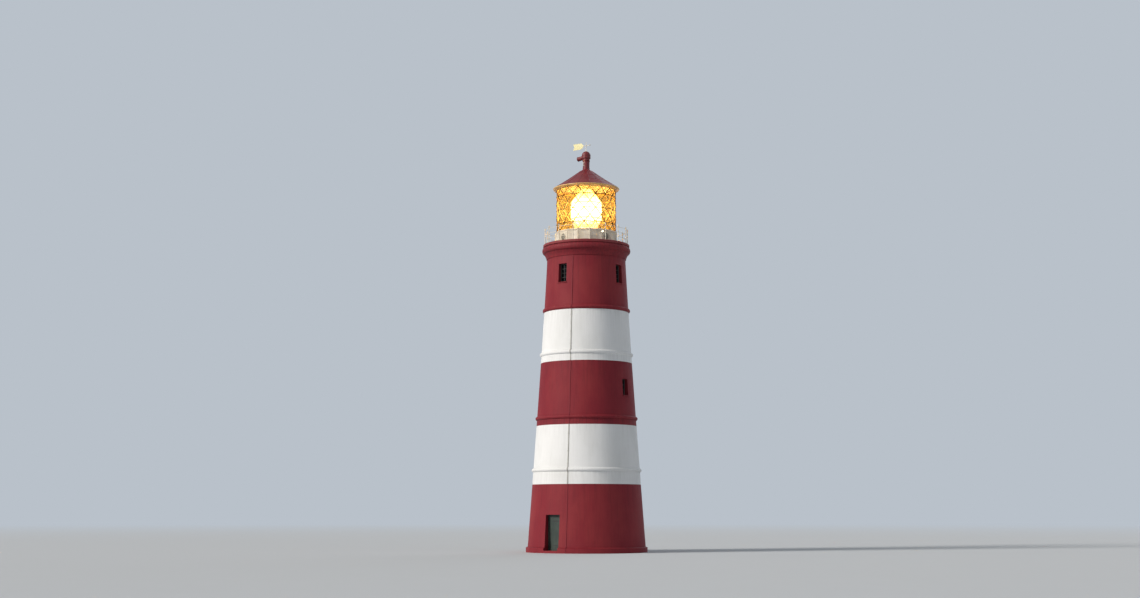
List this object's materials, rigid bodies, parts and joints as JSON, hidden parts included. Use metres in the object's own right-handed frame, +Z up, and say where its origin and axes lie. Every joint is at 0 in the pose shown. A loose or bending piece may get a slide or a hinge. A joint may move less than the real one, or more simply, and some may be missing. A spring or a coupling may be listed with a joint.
{
  "type": "lighthouse tower",
  "caption": "Round tapering masonry lighthouse with red and white bands, gallery, lattice lantern with lit lens, conical roof and turning cowl.",
  "frame": {"origin": "centre of the round base on the ground", "axes": "+Z up the tower axis, -Y towards the door face, +X to the right of someone facing the door"},
  "size_m": [7.5499, 7.5498, 26],
  "materials": {
    "red_masonry": "masonry paint, satin",
    "white_masonry": "masonry paint, satin",
    "concrete": "floated concrete",
    "door_paint": "painted planks",
    "window_paint": "painted joinery",
    "window_glass": "drawn sheet",
    "white_iron": "gloss paint",
    "red_metal": "gloss paint",
    "bronze": "dull",
    "optic_glass": "ground prisms",
    "lamp_glass": "lit lamp",
    "copper_strip": "weathered copper",
    "flag_paint": "faded paint"
  },
  "bodies": {
    "tower": {"plinth": "red_masonry", "red_base_faces": "red_masonry", "red_base_corners": "red_masonry", "string_course_1": "white_masonry", "white_lower_faces": "white_masonry", "white_lower_corners": "white_masonry", "string_course_2": "red_masonry", "red_middle_faces": "red_masonry", "red_middle_corners": "red_masonry", "string_course_3": "white_masonry", "white_upper_faces": "white_masonry", "white_upper_corners": "white_masonry", "string_course_4": "red_masonry", "red_top_faces": "red_masonry", "red_top_corners": "red_masonry", "ground_floor": "concrete", "middle_floor": "concrete", "service_floor": "concrete", "door_frame": "door_paint", "door_leaf": "door_paint", "window_frames": "window_paint", "window_panes": "window_glass", "cornice": "red_masonry", "gallery_deck": "red_masonry", "railing_posts": "white_iron", "railing_low_rail": "white_iron", "railing_middle_rail": "white_iron", "railing_top_rail": "white_iron", "murette": "white_iron", "ventilators": "white_iron", "lantern_sill": "white_iron", "lantern_lattice": "white_iron", "lantern_glass": "window_glass", "lantern_head": "white_iron", "eave_gutter": "white_iron", "roof": "red_metal", "vent_stack": "red_metal", "stack_handrail": "white_iron", "cowl_spindle": "bronze", "optic_belt": "optic_glass", "optic_upper_prisms": "optic_glass", "optic_lower_prisms": "optic_glass", "optic_frame": "bronze", "optic_pedestal": "white_iron", "lamp_stem": "bronze", "lamp_bulb": "lamp_glass", "lightning_conductor": "copper_strip"},
    "cowl": {"cowl": "red_metal", "vane_frame": "white_iron", "vane_flag": "flag_paint"}
  },
  "joints": [
    {"name": "cowl_turn", "type": "hinge", "parent": "tower", "child": "cowl", "pos_m": [0, 0, 24.72], "axis": [0, 0, 1], "continuous": true}
  ]
}
